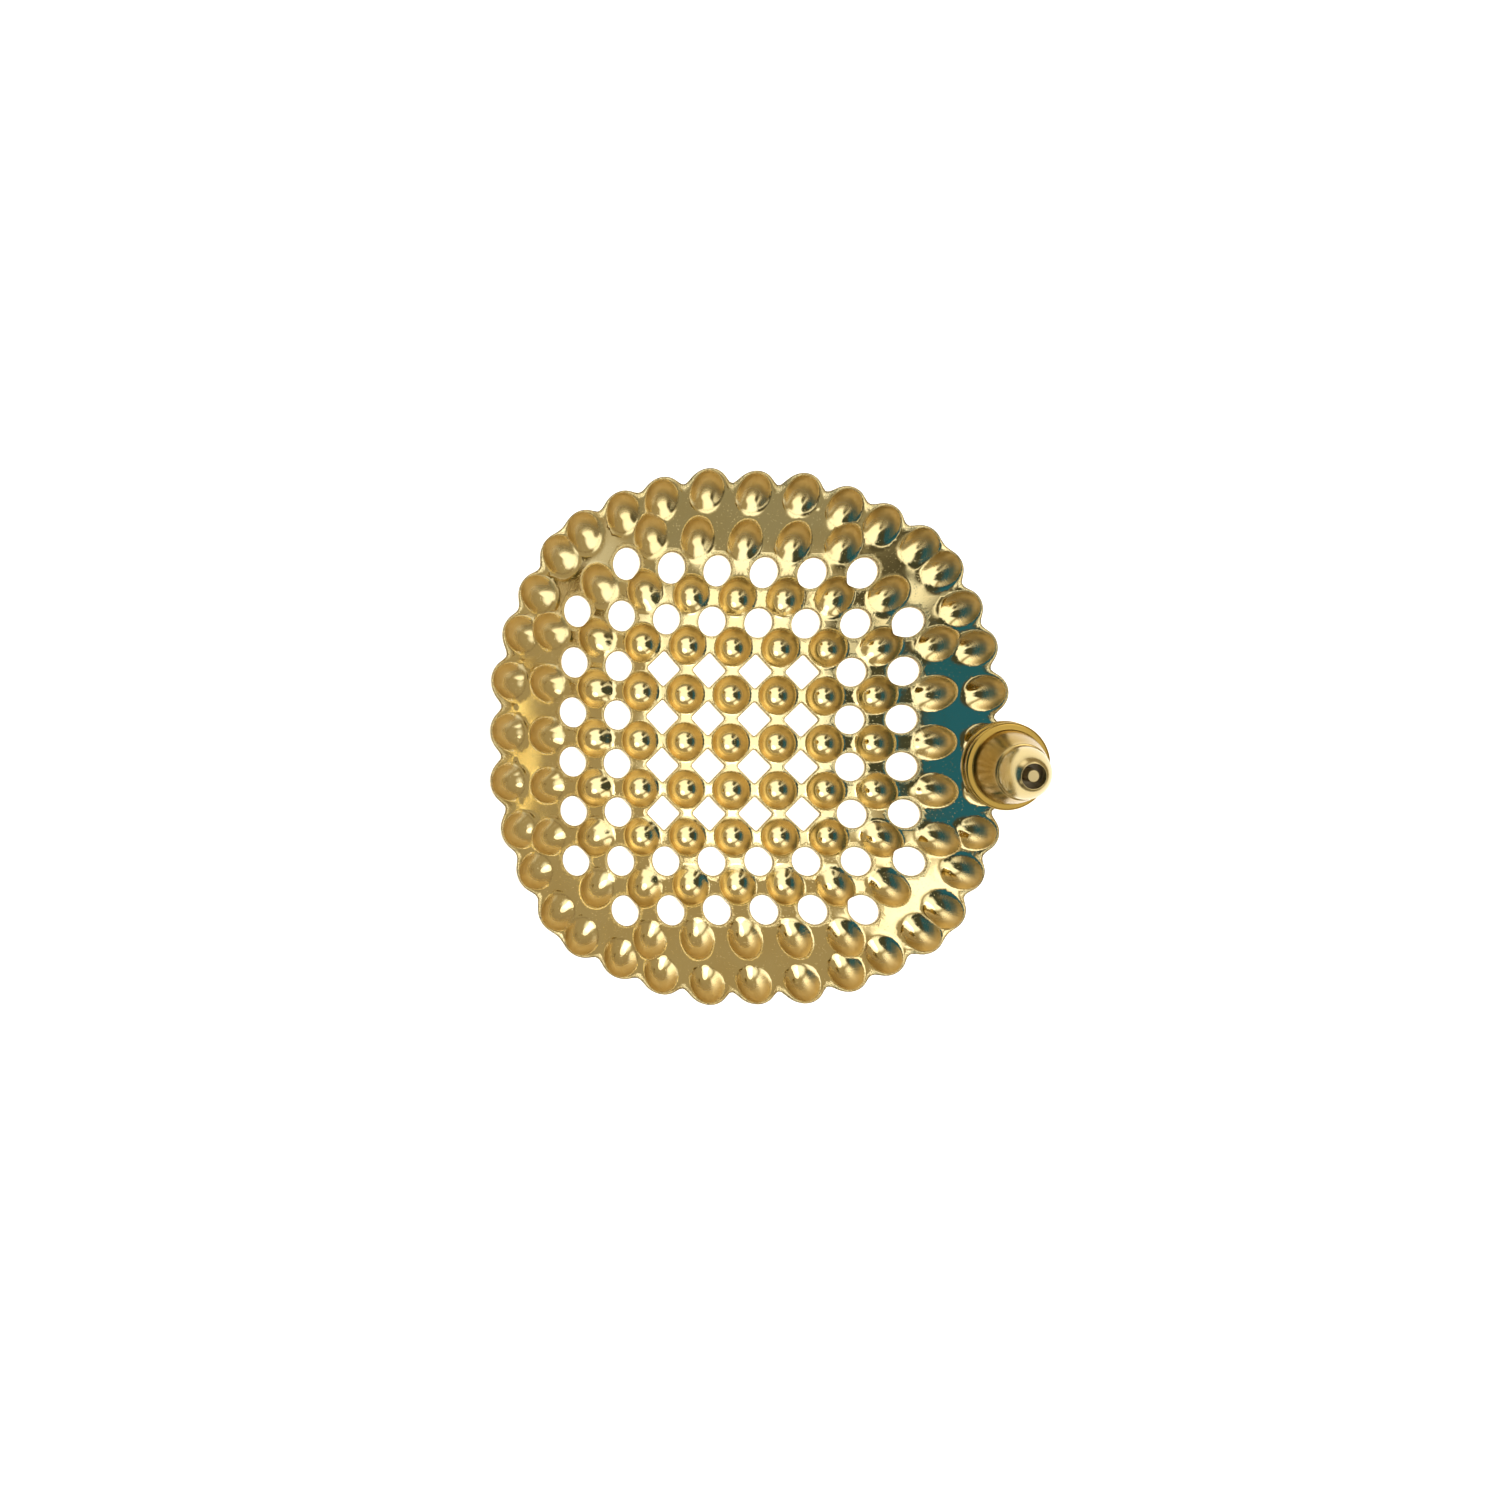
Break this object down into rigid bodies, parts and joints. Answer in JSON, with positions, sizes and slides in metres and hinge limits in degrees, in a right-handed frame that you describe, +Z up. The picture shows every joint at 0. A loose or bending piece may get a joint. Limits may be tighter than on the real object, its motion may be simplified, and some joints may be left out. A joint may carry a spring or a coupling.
{
  "type": "openwork stud earring",
  "caption": "Domed openwork stud earring: a stamped plate of hollow beads and punched holes, with a soldered ear post and a sliding, turning bullet clutch.",
  "frame": {"origin": "on the dome's axis, on the surface that the lowest bead rests on", "axes": "+Z up out of the hollow back, along the dome's axis; +X towards the rim that carries the post; +Y along the plate's other side"},
  "size_m": [0.032, 0.0312, 0.0166],
  "materials": {
    "gold_plate": "polished gold plate on stamped brass sheet",
    "post_gold": "drawn wire, gold plated",
    "solder": "hard solder, gold plated over",
    "clutch_gold": "polished gold plate on turned brass",
    "silicone": "clear silicone, slightly cloudy"
  },
  "bodies": {
    "plate": {"beaded_shell": "gold_plate", "solder_joint": "solder", "ear_post": "post_gold"},
    "grip": {"clutch_grip": "silicone"},
    "cap": {"clutch_shell": "clutch_gold", "clutch_base": "clutch_gold"}
  },
  "joints": [
    {"name": "clutch_slide", "type": "slide", "parent": "plate", "child": "grip", "axis": [-0.0696, -0.1672, 0.9835], "range_m": [-0.002, 0.0054]},
    {"name": "clutch_turn", "type": "hinge", "parent": "grip", "child": "cap", "pos_m": [0.01385, -0.00168, 0.01079], "axis": [-0.0696, -0.1672, 0.9835], "continuous": true}
  ]
}
